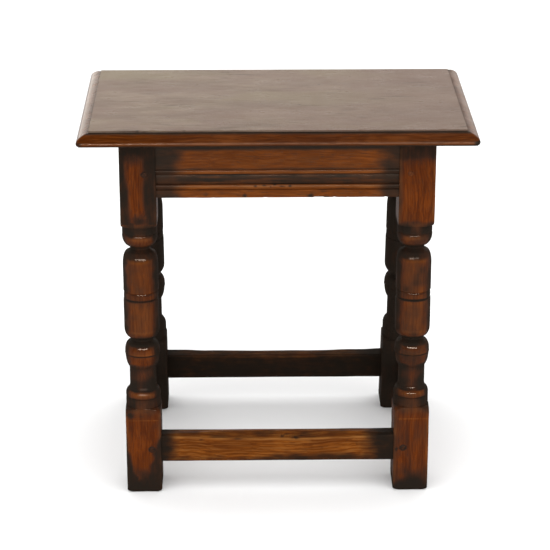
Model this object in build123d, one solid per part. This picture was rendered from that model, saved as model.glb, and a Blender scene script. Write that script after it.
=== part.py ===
from build123d import *

import os
from math import cos, radians, tan

# Joint stool in oak: turned and raked legs, moulded frieze rails, low stretchers and a
# moulded top board. Mortise and tenon joints, each held by one oak peg. Millimetres.
# X runs along the stool, the front is towards -Y, Z is up, and the origin is on the floor
# under the middle of the top. The front and rear legs lean towards each other.

# Whole stool
HEIGHT = 500.0
SPAN = 397.0  # over the outer faces of the left and right legs
SPREAD = 276.0  # over the outer faces of the front and rear feet, at the floor
RAKE = 5.5  # lean of each leg from the vertical, in degrees

# Top board
BOARD_LENGTH = 495.2
BOARD_WIDTH = 276.0
BOARD_THICKNESS = 16.5
END_BORDER = 15.1  # width of the moulding at the two ends of the flat field
SIDE_BORDER = 17.0  # and along its front and back
BOARD_CORNER = 6.5

# Moulding of the board: a shallow ovolo that turns over a tight nose. Depths are below the field,
# insets are from the widest point, and a pull is the corner that a round bulges towards.
QUIRK = 2.0  # step down from the field to the ovolo
OVOLO_PULL = 2.4
OVOLO_PULL_INSET = 4.3
OVOLO_FOOT = 9.9
OVOLO_FOOT_INSET = 0.7
NOSE_PULL = 11.4
NOSE = 12.6  # the widest point
UNDERCUT = 3.2  # how far the lower edge is set in from the nose

# Legs
LEG = 46.0  # square section
ARRIS = 1.5  # rounding of the long edges
TURNED = 22.8  # radius of the widest turned parts
# Turned parts of a rear leg sit higher than those of a front leg: height, then rise
REAR_RISES = ((127, 0), (141, 3), (148, 3), (172, 8), (209, 8), (264, 11), (352.6, 11), (362, 2.4), (371, 0))
CORNER = 32.0  # from the middle of the leg to its arrises
FOOT_CORNER = 5.0  # rounding of the corners of the foot
SOLE_EDGE = 1.2  # bevel round the sole
FOOT_DROP = 2.5  # the raked leg starts this far below the floor, and is cut level with it

# Frieze rails, heights measured along the leg
RAIL_BOTTOM = 401.8
RAIL_THICKNESS = 22.0
REVEAL = 2.5  # step back from the face of the leg
RAIL_TENON_INSET = 8.0  # shoulder under the tenon
RAIL_HAUNCH = 12.0  # shoulder above the tenon

# Stretchers, heights measured along the leg
STRETCHER_BOTTOM = 41.3
STRETCHER_HEIGHT = 37.0
STRETCHER_THICKNESS = 20.0
STRETCHER_TENON_INSET = 4.0
FRONT_WEAR = 4.0  # depth worn off the outer top arris at mid length
REAR_WEAR = 3.1
SIDE_WEAR = 1.2
WEAR_SLOPE = 25.0  # of the worn top from the level, in degrees
STRETCHER_ARRIS = 1.0

# Joints
TENON_SETBACK = 10.5  # from the face of the leg to the tenon
TENON_THICKNESS = 8.0
TENON_LENGTH = 24.0
MORTISE_RELIEF = 1.0
PEG_RADIUS = 3.25
PEG_LENGTH = 28.0
PEG_PROUD = 0.5
PEG_TIP = 7.0
PEG_TIP_RADIUS = 2.4
RAIL_PEG_HEIGHT = 432.5
RAIL_PEG_INSET = 14.5  # from the shoulder of the rail
STRETCHER_PEG_HEIGHT = 59.0
STRETCHER_PEG_INSET = 12.5

# Turn-buttons that hold the board, and their screws
BUTTON_LENGTH = 34.0
BUTTON_WIDTH = 26.0
BUTTON_HEIGHT = 15.0
TONGUE_LENGTH = 7.0
TONGUE_HEIGHT = 7.0
BUTTON_GAP = 1.5  # between the body of a button and the rail
SLOT_RELIEF = 1.0
LONG_RAIL_BUTTON_X = 95.0
SCREW_RADIUS = 2.0
SCREW_HEAD_RADIUS = 4.2
SCREW_HEAD_HEIGHT = 2.6
SCREW_BITE = 10.0  # length of screw in the board
SCREW_SLOT_WIDTH = 1.0
SCREW_SLOT_DEPTH = 1.0

# Worked out from the dimensions above
UNDERSIDE = HEIGHT - BOARD_THICKNESS
LEG_X = SPAN / 2 - LEG / 2
SHOULDER_X = SPAN / 2 - LEG
FOOT_Y = SPREAD / 2 - LEG / 2 / cos(radians(RAKE))
LEG_LENGTH = HEIGHT / cos(radians(RAKE))
BLOCK_RADIUS = 0.75 * LEG  # beyond the corners of the square
BIG = 1.5 * HEIGHT


def quarter(start, end, corner):
    """Quarter round from start to end that bulges towards corner."""
    pull = 0.5523
    first = Vector(*start) + (Vector(*corner) - Vector(*start)) * pull
    second = Vector(*end) + (Vector(*corner) - Vector(*end)) * pull
    return Bezier(Vector(*start), first, second, Vector(*end))


def outline_wire(steps):
    """Join points into one line; a step of two points is a quarter round to the first."""
    edges = []
    here = steps[0]
    for step in steps[1:]:
        if isinstance(step[0], tuple):
            end, corner = step
            edges.append(quarter(here, end, corner))
        else:
            end = step
            edges.append(Line(here, end))
        here = end
    return edges


def closed_face(steps):
    """Flat face in the XY plane inside a closed outline."""
    return make_face(Curve() + outline_wire(steps + [steps[0]]))


def lean(shape):
    """Take a shape from the upright front frame to its raked place."""
    return Pos(0, -FOOT_Y, 0) * Rot(-RAKE, 0, 0) * shape


def inner_face_y(z):
    """World Y of the front legs' inner faces at height z."""
    return -FOOT_Y + LEG / 2 / cos(radians(RAKE)) + z * tan(radians(RAKE))


def world_height(along_leg):
    """Height of a point on the leg's axis."""
    return along_leg * cos(radians(RAKE))


def between_floor_and_board(shape):
    """Cut a raked shape level with the floor and with the underside of the board."""
    slab = Pos(0, 0, UNDERSIDE / 2) * Box(BIG, BIG, UNDERSIDE)
    return shape & slab


# ---------------------------------------------------------------- top board


def moulding(border):
    """Edge of the board from the field down: inset from the widest point, then height."""
    wide = border / END_BORDER
    return [
        (border, 0),
        (border, -QUIRK),
        ((OVOLO_FOOT_INSET * wide, -OVOLO_FOOT), (OVOLO_PULL_INSET * wide, -OVOLO_PULL)),
        ((0, -NOSE), (0, -NOSE_PULL)),
        ((UNDERCUT, -BOARD_THICKNESS), (0, -BOARD_THICKNESS)),
    ]


def half_section(size, border):
    """Right half of a section across the board."""
    steps = [(0, 0)]
    for step in moulding(border):
        if isinstance(step[0], tuple):
            steps.append(tuple((size / 2 - inset, height) for inset, height in step))
        else:
            steps.append((size / 2 - step[0], step[1]))
    return closed_face(steps + [(0, -BOARD_THICKNESS)])


def top_board():
    """One board; the mouldings of its four edges meet in mitres."""
    across = extrude(Plane.XZ * half_section(BOARD_LENGTH, END_BORDER), BOARD_WIDTH, both=True)
    along = extrude(Plane.YZ * half_section(BOARD_WIDTH, SIDE_BORDER), BOARD_LENGTH, both=True)
    across += mirror(across, Plane.YZ)
    along += mirror(along, Plane.XZ)
    plan = RectangleRounded(BOARD_LENGTH, BOARD_WIDTH, BOARD_CORNER)
    outline = extrude(plan, 2 * BOARD_THICKNESS, both=True)
    board = Pos(0, 0, HEIGHT) * (across & along & outline)
    for x, y, _ in button_places():
        board -= Pos(x, y, UNDERSIDE) * Cylinder(SCREW_RADIUS, 2 * SCREW_BITE)
    return board


# ---------------------------------------------------------------- legs


def rise(height, rises):
    """Rise at a height, straight between the (height, rise) pairs and none beyond them."""
    for (low, low_rise), (high, high_rise) in zip(rises[:-1], rises[1:]):
        if low <= height <= high:
            return low_rise + (high_rise - low_rise) * (height - low) / (high - low)
    return 0.0


def raised(step, rises):
    """A step of an outline with its points moved up by their rise."""
    if isinstance(step[0], tuple):
        return tuple(raised(point, rises) for point in step)
    return step[0], step[1] + rise(step[1], rises)


def turned_outline(rises):
    """Half outline of the leg from its foot up: radius first, then height."""
    ball = TURNED - 0.1
    steps = [
        # lower block: worn corners at the foot, and a rounded shoulder
        (0, -FOOT_DROP),
        (CORNER - FOOT_CORNER, -FOOT_DROP),
        ((CORNER, FOOT_CORNER), (CORNER, -FOOT_DROP)),
        (CORNER, 106),
        ((23.0, 116.2), (CORNER, 116.2)),
        # base ring and its groove
        (TURNED, 127.2),
        (TURNED - 0.8, 128.5),
        (TURNED, 129.8),
        (TURNED, 132.5),
        ((20.8, 138.6), (TURNED, 137.8)),
        (20.2, 138.8),
        ((17.4, 147), (17.6, 140.5)),
        # long cove
        (17.4, 170),
        ((22.3, 187), (21.8, 172.5)),
        # lip and ball
        (22.1, 188),
        (23.0, 189),
        (ball, 190.2),
        (ball, 192),
        ((18.2, 204.2), (ball, 202.5)),
        (17.6, 204.4),
        ((14.4, 206.8), (15.6, 205.6)),
        (14.4, 209),
        # lower drum
        (15.8, 210.5),
        ((TURNED + 0.2, 223.5), (TURNED + 0.2, 211)),
        (TURNED + 0.2, 259),
        (TURNED, 262.8),
        (TURNED - 1.1, 264),
        ((TURNED - 0.4, 267), (TURNED - 0.4, 264.6)),
        ((TURNED - 1.1, 273), (TURNED - 0.4, 272.6)),
        # upper drum
        (TURNED, 274.6),
        (TURNED, 309),
        ((17.4, 327.4), (TURNED, 326.4)),
        (16.6, 327.7),
        ((12.8, 330.6), (14.2, 329)),
        (12.8, 332.4),
        # collar
        (14.8, 334.4),
        ((TURNED, 348.5), (TURNED, 336)),
        (TURNED - 0.1, 350.6),
        (TURNED - 0.8, 351.6),
        (TURNED - 0.2, 352.6),
        (TURNED - 0.2, 362),
        # upper block, with a rounded lower end
        (23.1, 362.2),
        ((CORNER, 371), (CORNER, 362.2)),
        (BLOCK_RADIUS, 371),
        (BLOCK_RADIUS, LEG_LENGTH),
        (0, LEG_LENGTH),
    ]
    return closed_face([raised(step, rises) for step in steps])


def leg_blank(rises):
    """Left leg, upright on the origin, before its joints are cut."""
    square = Pos(0, 0, -FOOT_DROP) * extrude(RectangleRounded(LEG, LEG, ARRIS), LEG_LENGTH)
    turned = revolve(Plane.XZ * turned_outline(rises), Axis.Z)
    return square & turned


def sole_bevel():
    """Solid that widens upwards from the front left foot, to bevel the edge of its sole."""
    width = LEG - 2 * SOLE_EDGE
    depth = LEG / cos(radians(RAKE)) - 2 * SOLE_EDGE
    return Pos(-LEG_X, -FOOT_Y, 0) * extrude(Rectangle(width, depth), HEIGHT, taper=-45)


def leg(rises=()):
    """Left leg in its front place, with its four mortises and four peg holes."""
    shape = between_floor_and_board(lean(Pos(-LEG_X, 0, 0) * leg_blank(rises)))
    shape &= sole_bevel()
    for joint in (long_tenon, side_tenon):
        for bottom, height in ((RAIL_BOTTOM, rail_height()), (STRETCHER_BOTTOM, STRETCHER_HEIGHT)):
            shape -= joint(bottom, height, MORTISE_RELIEF)
    for peg in pegs().values():
        shape -= peg
    return shape


# ---------------------------------------------------------------- joints and pegs


def rail_height():
    """Height of a rail along the leg, up to the board."""
    return UNDERSIDE / cos(radians(RAKE)) - RAIL_BOTTOM


def tenon_band(bottom, height):
    """Lower and upper end of the tenon, along the leg."""
    if bottom == RAIL_BOTTOM:
        return bottom + RAIL_TENON_INSET, bottom + height - RAIL_HAUNCH
    return bottom + STRETCHER_TENON_INSET, bottom + height - STRETCHER_TENON_INSET


def long_tenon(bottom, height, extra=0.0):
    """Left tenon of a front member, in its raked place."""
    low, high = tenon_band(bottom, height)
    length = TENON_LENGTH + extra
    y = -LEG / 2 + TENON_SETBACK + TENON_THICKNESS / 2
    tenon = Box(length + 1, TENON_THICKNESS, high - low)
    return lean(Pos(-SHOULDER_X - (length - 1) / 2, y, (low + high) / 2) * tenon)


def side_tenon(bottom, height, extra=0.0):
    """Front tenon of a left member; it lies level, and its shoulder follows the leg."""
    low, high = (world_height(end) for end in tenon_band(bottom, height))
    end = inner_face_y((low + high) / 2) - TENON_LENGTH - extra
    reach = TENON_LENGTH + extra + LEG / 2
    x = -SPAN / 2 + TENON_SETBACK + TENON_THICKNESS / 2
    return Pos(x, end + reach / 2, (low + high) / 2) * Box(TENON_THICKNESS, reach, high - low)


def peg_blank():
    """Peg along Z: the head is at the top and the tapered tip below."""
    head = PEG_PROUD
    steps = [
        (0, head),
        (PEG_RADIUS - 0.8, head),
        (PEG_RADIUS, head - 0.4),
        (PEG_RADIUS, PEG_TIP - PEG_LENGTH),
        (PEG_TIP_RADIUS, -PEG_LENGTH),
        (0, -PEG_LENGTH),
    ]
    return revolve(Plane.XZ * closed_face(steps), Axis.Z)


def pegs():
    """The four pegs of the front left leg, in place."""
    blank = peg_blank()
    found = {}
    heights = (
        ("rail", RAIL_PEG_HEIGHT, RAIL_PEG_INSET),
        ("stretcher", STRETCHER_PEG_HEIGHT, STRETCHER_PEG_INSET),
    )
    for member, height, inset in heights:
        front = Pos(-SHOULDER_X - inset, -LEG / 2, height) * Rot(90, 0, 0) * blank
        found["front_" + member] = lean(front)
        z = world_height(height)
        y = inner_face_y(z) - inset
        found["side_" + member] = Pos(-SPAN / 2, y, z) * Rot(0, -90, 0) * blank
    return found


# ---------------------------------------------------------------- rails


def rail_section():
    """Section of a rail: depth from its face first, then height above its lower edge."""
    top = rail_height() + 4
    band = 9.6
    steps = [
        (0.6, 0),
        (0, 0.6),
        (0, band),
        (1.4, band + 1.0),
        (1.4, band + 1.4),
        # lower bead
        ((0.2, band + 4.6), (0.2, band + 1.6)),
        ((1.9, band + 7.6), (0.2, band + 7.4)),
        # sunk channel, a little crowned
        (2.6, 17.8),
        ((1.9, 23.6), (1.9, 18.4)),
        ((2.6, 29.4), (1.9, 28.8)),
        (1.9, 30.6),
        # upper bead
        ((0.2, 33.4), (0.2, 31.0)),
        ((1.4, 36.2), (0.2, 36.0)),
        (1.4, 36.6),
        (0, 37.2),
        (0, top),
        (RAIL_THICKNESS, top),
        (RAIL_THICKNESS, 0.6),
        (RAIL_THICKNESS - 0.6, 0),
    ]
    return closed_face(steps)


def front_rail():
    """Front rail with both tenons, raked with the front legs."""
    profile = Plane.YZ * (Pos(-LEG / 2 + REVEAL, RAIL_BOTTOM) * rail_section())
    rail = lean(extrude(profile, SHOULDER_X, both=True))
    rail = between_floor_and_board(rail)
    tenon = long_tenon(RAIL_BOTTOM, rail_height())
    rail += tenon
    rail += mirror(tenon, Plane.YZ)
    for x, y, turn in button_places():
        if turn == 0 and y < 0:
            rail -= Pos(x, y, UNDERSIDE) * Rot(0, 0, turn) * button_slot()
    return drill(rail, "front_rail", Plane.YZ)


def side_body(section, bottom):
    """Left member between the raked inner faces of its legs, with its two tenons."""
    place = Pos(-SPAN / 2 + REVEAL, world_height(bottom))
    body = extrude(Plane.XZ * (place * section), SPREAD / 2, both=True)
    corners = [(-inner_face_y(z), z) for z in (0, HEIGHT)]
    corners += [(inner_face_y(z), z) for z in (HEIGHT, 0)]
    body &= extrude(Plane.YZ * make_face(Polyline(*corners, close=True)), SPAN, both=True)
    return between_floor_and_board(body)


def side_rail():
    """Left rail; it stands upright, and its ends are cut to the lean of the legs."""
    rail = side_body(rail_section(), RAIL_BOTTOM)
    tenon = side_tenon(RAIL_BOTTOM, rail_height())
    rail += tenon
    rail += mirror(tenon, Plane.XZ)
    for x, y, turn in button_places():
        if turn != 0 and x < 0:
            rail -= Pos(x, y, UNDERSIDE) * Rot(0, 0, turn) * button_slot()
    return drill(rail, "side_rail", Plane.XZ)


def drill(member, name, other_end):
    """Cut the peg holes through both tenons of a member."""
    peg = pegs()[name]
    return member - peg - mirror(peg, other_end)


# ---------------------------------------------------------------- stretchers


def stretcher_section():
    """Section of a stretcher: depth from its face first, then height."""
    soft = STRETCHER_ARRIS
    thick = STRETCHER_THICKNESS
    high = STRETCHER_HEIGHT
    steps = [
        (soft, 0),
        (0, soft),
        (0, high - soft),
        (soft, high),
        (thick - soft, high),
        (thick, high - soft),
        (thick, soft),
        (thick - soft, 0),
    ]
    return closed_face(steps)


def worn_hollow(length, depth):
    """Cutter for a sloping hollow, deepest at mid length, on an arris along X at the origin."""
    half = length / 2
    reach = STRETCHER_THICKNESS
    sweep = ThreePointArc((-half, 0), (0, -depth), (half, 0))
    sides = Polyline((half, 0), (half, reach), (-half, reach), (-half, 0))
    shape = extrude(make_face(Curve() + [sweep, sides]), reach, both=True)
    return Rot(WEAR_SLOPE, 0, 0) * Rot(90, 0, 0) * shape


def front_stretcher(wear):
    """Front stretcher with both tenons, its outer top arris worn by feet."""
    profile = Plane.YZ * (Pos(-LEG / 2 + REVEAL, STRETCHER_BOTTOM) * stretcher_section())
    body = extrude(profile, SHOULDER_X, both=True)
    arris = Pos(0, -LEG / 2 + REVEAL + STRETCHER_ARRIS / 2,
                STRETCHER_BOTTOM + STRETCHER_HEIGHT - STRETCHER_ARRIS / 2)
    body -= arris * worn_hollow(2 * SHOULDER_X, wear)
    tenon = long_tenon(STRETCHER_BOTTOM, STRETCHER_HEIGHT)
    body = lean(body) + tenon
    body += mirror(tenon, Plane.YZ)
    return drill(body, "front_stretcher", Plane.YZ)


def side_stretcher():
    """Left stretcher with both tenons, a little worn."""
    body = side_body(stretcher_section(), STRETCHER_BOTTOM)
    top = world_height(STRETCHER_BOTTOM) + STRETCHER_HEIGHT
    arris = Pos(-SPAN / 2 + REVEAL + STRETCHER_ARRIS / 2, 0, top - STRETCHER_ARRIS / 2)
    body -= arris * Rot(0, 0, -90) * worn_hollow(-2 * inner_face_y(top), SIDE_WEAR)
    tenon = side_tenon(STRETCHER_BOTTOM, STRETCHER_HEIGHT)
    body += tenon
    body += mirror(tenon, Plane.XZ)
    return drill(body, "side_stretcher", Plane.XZ)


# ---------------------------------------------------------------- buttons and screws


def rail_inner_y():
    """World Y of the front rail's inner face at the height of the button slots."""
    z = UNDERSIDE - BUTTON_HEIGHT + TONGUE_HEIGHT
    depth = -LEG / 2 + REVEAL + RAIL_THICKNESS
    return -FOOT_Y + depth / cos(radians(RAKE)) + z * tan(radians(RAKE))


def button_places():
    """Screw centre of each button under the board, and the turn of the button."""
    reach = BUTTON_GAP + BUTTON_LENGTH / 2
    front = rail_inner_y() + reach
    side = -SPAN / 2 + REVEAL + RAIL_THICKNESS + reach
    return [
        (-LONG_RAIL_BUTTON_X, front, 0),
        (LONG_RAIL_BUTTON_X, front, 0),
        (-LONG_RAIL_BUTTON_X, -front, 180),
        (LONG_RAIL_BUTTON_X, -front, 180),
        (side, 0, -90),
        (-side, 0, 90),
    ]


def button_slot():
    """Slot in the rail for the tongue, seen from the screw; the tongue points to -Y."""
    deep = BUTTON_GAP + TONGUE_LENGTH + SLOT_RELIEF
    start = -BUTTON_LENGTH / 2 - deep
    run = deep + BUTTON_GAP
    height = TONGUE_HEIGHT + SLOT_RELIEF
    z = -BUTTON_HEIGHT + TONGUE_HEIGHT - height / 2
    return Pos(0, start + run / 2, z) * Box(BUTTON_WIDTH + 2 * SLOT_RELIEF, run, height)


def button():
    """Button hung from the board, with its screw hole at the origin."""
    body = Pos(0, 0, -BUTTON_HEIGHT / 2) * Box(BUTTON_WIDTH, BUTTON_LENGTH, BUTTON_HEIGHT)
    body = chamfer(body.edges().filter_by(Axis.Z), 2.0)
    tongue = Pos(0, -BUTTON_LENGTH / 2 - (BUTTON_GAP + TONGUE_LENGTH) / 2 + 2,
                 -BUTTON_HEIGHT + TONGUE_HEIGHT / 2)
    body += tongue * Box(BUTTON_WIDTH - 4, BUTTON_GAP + TONGUE_LENGTH + 4, TONGUE_HEIGHT)
    return body - screw()


def screw():
    """Slotted countersunk screw, head down, with its shank reaching up into the board."""
    steps = [
        (0, -BUTTON_HEIGHT),
        (SCREW_HEAD_RADIUS, -BUTTON_HEIGHT),
        (SCREW_RADIUS, -BUTTON_HEIGHT + SCREW_HEAD_HEIGHT),
        (SCREW_RADIUS, SCREW_BITE),
        (0, SCREW_BITE),
    ]
    return revolve(Plane.XZ * closed_face(steps), Axis.Z)


def slotted(shape):
    """Cut the driver slot across the head of a screw."""
    slot = Box(3 * SCREW_HEAD_RADIUS, SCREW_SLOT_WIDTH, 2 * SCREW_SLOT_DEPTH)
    return shape - Pos(0, 0, -BUTTON_HEIGHT) * slot


# ---------------------------------------------------------------- assembly


def flipped(shape, x_side, y_side):
    """Mirror a front left shape to another corner or side."""
    if x_side > 0:
        shape = mirror(shape, Plane.YZ)
    if y_side > 0:
        shape = mirror(shape, Plane.XZ)
    return shape


def corner_pieces():
    """Legs and pegs at the four corners."""
    pieces = {}
    rows = ((-1, "front", leg()), (1, "rear", leg(REAR_RISES)))
    for y_side, depth_name, one_leg in rows:
        for x_side, side_name in ((-1, "left"), (1, "right")):
            pieces[f"leg_{depth_name}_{side_name}"] = flipped(one_leg, x_side, y_side)
            for key, peg in pegs().items():
                face, member = key.split("_")
                if face == "front":
                    name = f"peg_{depth_name}_{member}_{side_name}_end"
                else:
                    name = f"peg_{side_name}_{member}_{depth_name}_end"
                pieces[name] = flipped(peg, x_side, y_side)
    return pieces


def cross_pieces():
    """Rails and stretchers on the four sides."""
    return {
        "rail_front": front_rail(),
        "rail_rear": flipped(front_rail(), -1, 1),
        "rail_left": side_rail(),
        "rail_right": flipped(side_rail(), 1, -1),
        "stretcher_front": front_stretcher(FRONT_WEAR),
        "stretcher_rear": flipped(front_stretcher(REAR_WEAR), -1, 1),
        "stretcher_left": side_stretcher(),
        "stretcher_right": flipped(side_stretcher(), 1, -1),
    }


def board_fixings():
    """Turn-buttons and their screws under the board."""
    names = ("front_left", "front_right", "rear_left", "rear_right", "left", "right")
    pieces = {}
    for name, (x, y, turn) in zip(names, button_places()):
        place = Pos(x, y, UNDERSIDE) * Rot(0, 0, turn)
        pieces["button_" + name] = place * button()
        pieces["button_screw_" + name] = place * slotted(screw())
    return pieces


os.makedirs("parts", exist_ok=True)
pieces = {"top_board": top_board()}
pieces.update(corner_pieces())
pieces.update(cross_pieces())
pieces.update(board_fixings())
for node, shape in pieces.items():
    export_step(shape, f"parts/{node}.step")
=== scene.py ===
import math

import bpy
import numpy as np
from mathutils import Matrix, Vector


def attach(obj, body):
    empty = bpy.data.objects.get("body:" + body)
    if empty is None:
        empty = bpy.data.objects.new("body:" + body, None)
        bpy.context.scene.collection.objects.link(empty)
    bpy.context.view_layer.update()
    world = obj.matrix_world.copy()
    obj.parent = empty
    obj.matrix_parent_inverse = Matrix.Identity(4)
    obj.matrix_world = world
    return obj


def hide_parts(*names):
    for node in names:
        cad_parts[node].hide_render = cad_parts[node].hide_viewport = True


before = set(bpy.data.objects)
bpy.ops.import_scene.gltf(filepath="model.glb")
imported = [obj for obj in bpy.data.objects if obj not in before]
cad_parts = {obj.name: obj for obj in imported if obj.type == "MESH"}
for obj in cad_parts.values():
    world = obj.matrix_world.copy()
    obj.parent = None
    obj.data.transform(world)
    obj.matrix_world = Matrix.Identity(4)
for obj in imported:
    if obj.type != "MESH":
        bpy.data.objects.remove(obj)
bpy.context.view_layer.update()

# ------------------------------------------------------------------ sizes, in mm

MM = 0.001
HEIGHT = 500.0
UNDERSIDE = 483.5  # of the board
BOARD_LENGTH = 495.2
BOARD_WIDTH = 276.0
END_BORDER = 15.1  # width of the board's moulding at the ends
SIDE_BORDER = 17.0  # and along the sides
BOARD_CORNER = 6.5

RAKE = math.radians(5.5)  # lean of the legs, in depth only
LEG_HALF = 23.0  # half the width of a leg's square blocks
LEG_X = 175.5  # centre lines of the legs
FOOT_Y = BOARD_WIDTH / 2 - LEG_HALF / math.cos(RAKE)
SHOULDER_X = LEG_X - LEG_HALF
OUTER_X = LEG_X + LEG_HALF
LOW_BLOCK_TOP = 116.2
HIGH_BLOCK_BOTTOM = 362.2
HIGH_BLOCK_FULL = 371  # where the upper block has its full corners
SCORE = 100  # height of the scored line on the lower block
PEG_PLACES = ((432.5, 14.5), (59.0, 12.5))  # height up the leg, distance in from its inner face

SET_BACK = 2.5  # faces of rails and stretchers behind the faces of the legs
FACE = LEG_HALF - SET_BACK
OVERLAP = 0.5  # how far a rail or stretcher runs into a leg
RAIL_BOTTOM = 401.8
RAIL_THICK = 22
RAIL_BAND = 9.6  # plain band below the moulding
RAIL_LEVEL = 50  # above this height a rail is stretched to meet the board
STRETCHER_BOTTOM = 41.3
STRETCHER_HEIGHT = 37.0
STRETCHER_THICK = 20.0


# ------------------------------------------------------------------ noise and curves


def lattice(ix, iy, iz, seed):
    """A random number from -1 to 1 for each whole-numbered place."""
    h = ix * 374761393 + iy * 668265263 + iz * 1442695041 + seed * 1274126177
    h = h.astype(np.uint64) & 0xFFFFFFFF
    h = ((h ^ (h >> 13)) * 1274126177) & 0xFFFFFFFF
    return ((h ^ (h >> 16)) & 0xFFFF) / 32767.5 - 1


def noise(p, size, seed):
    """Smooth value noise from -1 to 1; size is the cell in mm, one number or one per axis."""
    q = np.asarray(p, float) / np.asarray(size, float) + 1000
    i = np.floor(q).astype(np.int64)
    f = q - i
    f = f * f * (3 - 2 * f)
    out = 0
    for dx in (0, 1):
        for dy in (0, 1):
            for dz in (0, 1):
                w = (
                    (f[:, 0] if dx else 1 - f[:, 0])
                    * (f[:, 1] if dy else 1 - f[:, 1])
                    * (f[:, 2] if dz else 1 - f[:, 2])
                )
                out = out + w * lattice(i[:, 0] + dx, i[:, 1] + dy, i[:, 2] + dz, seed)
    return out


def smooth(x, a, b):
    """From 0 at a to 1 at b, level at both."""
    t = np.clip((x - a) / (b - a), 0, 1)
    return t * t * (3 - 2 * t)


def hump(x, centre, width):
    """One at the centre, falling off softly over the width on both sides."""
    return np.exp(-(((x - centre) / width) ** 2))


ROUND = 0.5523  # pull that makes a Bezier curve a quarter of an ellipse


def bend(start, end, corner, pull, t):
    """Points of the curve that leaves its start and reaches its end along lines from the corner."""
    p0, p3, c = (np.array(v, float) for v in (start, end, corner))
    p1, p2 = p0 + pull * (c - p0), p3 + pull * (c - p3)
    t = t[:, None]
    return (1 - t) ** 3 * p0 + 3 * t * (1 - t) ** 2 * p1 + 3 * t * t * (1 - t) * p2 + t**3 * p3


def trace(steps, n):
    """Points of an outline whose steps are points, or an end and the corner of a quarter round."""
    out = [np.array([steps[0]], float)]
    for step in steps[1:]:
        here = out[-1][-1]
        if isinstance(step[0], tuple):
            out.append(bend(here, step[0], step[1], ROUND, np.linspace(0, 1, n + 1)[1:]))
        else:
            out.append(np.array([step], float))
    return np.concatenate(out)


def dense(points, step):
    """Same closed outline with no gap longer than step."""
    pts = np.vstack([points, points[:1]])
    out = []
    for a, b in zip(pts[:-1], pts[1:]):
        n = max(1, int(math.ceil(np.linalg.norm(b - a) / step)))
        out.append(a + (b - a) * (np.arange(n) / n)[:, None])
    return np.concatenate(out)


# ------------------------------------------------------------------ mesh pieces

SHARP = 34  # degrees; edges bent more than this are drawn sharp


def make_piece(name, co, faces, matrix, nodes):
    """A mesh from points in mm, standing in for those nodes of the frame."""
    mesh = bpy.data.meshes.new(name)
    mesh.from_pydata((co * MM).tolist(), [], faces)
    mesh.transform(matrix)
    mesh.validate()
    mesh.update()
    mesh.shade_smooth()
    mesh.set_sharp_from_angle(angle=math.radians(SHARP))
    obj = bpy.data.objects.new(name, mesh)
    bpy.context.scene.collection.objects.link(obj)
    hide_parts(*nodes)
    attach(obj, "root")
    return obj


def paint(obj, **fields):
    """Keep numbers or vectors per vertex for the material to read."""
    for name, values in fields.items():
        kind, key = ("FLOAT_VECTOR", "vector") if values.ndim == 2 else ("FLOAT", "value")
        a = obj.data.attributes.new(name, kind, "POINT")
        a.data.foreach_set(key, values.astype(np.float32).ravel())


def loft(rings):
    """Points and faces of a closed solid from n rings of m points, with a fan at each end."""
    n, m, _ = rings.shape
    co = np.concatenate([rings.reshape(-1, 3), rings[0].mean(0)[None], rings[-1].mean(0)[None]])
    faces = []
    for i in range(n - 1):
        a, b = i * m, (i + 1) * m
        for k in range(m):
            after = (k + 1) % m
            faces.append((a + k, a + after, b + after, b + k))
    first, last = n * m, n * m + 1
    top = (n - 1) * m
    faces += [(first, (k + 1) % m, k) for k in range(m)]
    faces += [(last, top + k, top + (k + 1) % m) for k in range(m)]
    return co, faces


def mirrored(co, axis, faces):
    """The same solid on the other side of the stool."""
    co[:, axis] *= -1
    return co, [tuple(reversed(f)) for f in faces]


def leaning(y_side, x=0):
    """Place in the stool of a piece drawn upright round a leg's centre line."""
    return Matrix.Translation((x * MM, y_side * FOOT_Y * MM, 0)) @ Matrix.Rotation(y_side * RAKE, 4, "X")


def normals(co, faces):
    """Area-weighted vertex normals."""
    out = np.zeros_like(co)
    quads = np.array([f if len(f) == 4 else (*f, f[0]) for f in faces])
    p = co[quads]
    nf = np.cross(p[:, 2] - p[:, 0], p[:, 3] - p[:, 1])
    for k in range(4):
        np.add.at(out, quads[:, k], nf)
    return out / np.maximum(np.linalg.norm(out, axis=1, keepdims=True), 1e-12)


def marks(a, b, places):
    """Darkness of single ragged marks: place along, place up, half length, half height, strength."""
    out = np.zeros(len(a))
    ragged = 1.6 * np.abs(noise(np.stack([a, b, a * 0], 1), (3.5, 1.8, 9), 41))
    for x, y, rx, ry, strength in places:
        far = ((a - x) / rx) ** 2 + ((b - y) / ry) ** 2
        out = np.maximum(out, strength * np.exp(-far * (0.5 + ragged)))
    return out


def weather(co, faces, depth, size, seed):
    """Push the surface in by up to depth mm, in soft patches."""
    n = normals(co, faces)
    amount = 0.5 + 0.5 * noise(co, size, seed)
    return co - n * (depth * amount)[:, None]


# ------------------------------------------------------------------ legs

T = 22.8  # radius of the plain parts of the turning

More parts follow.
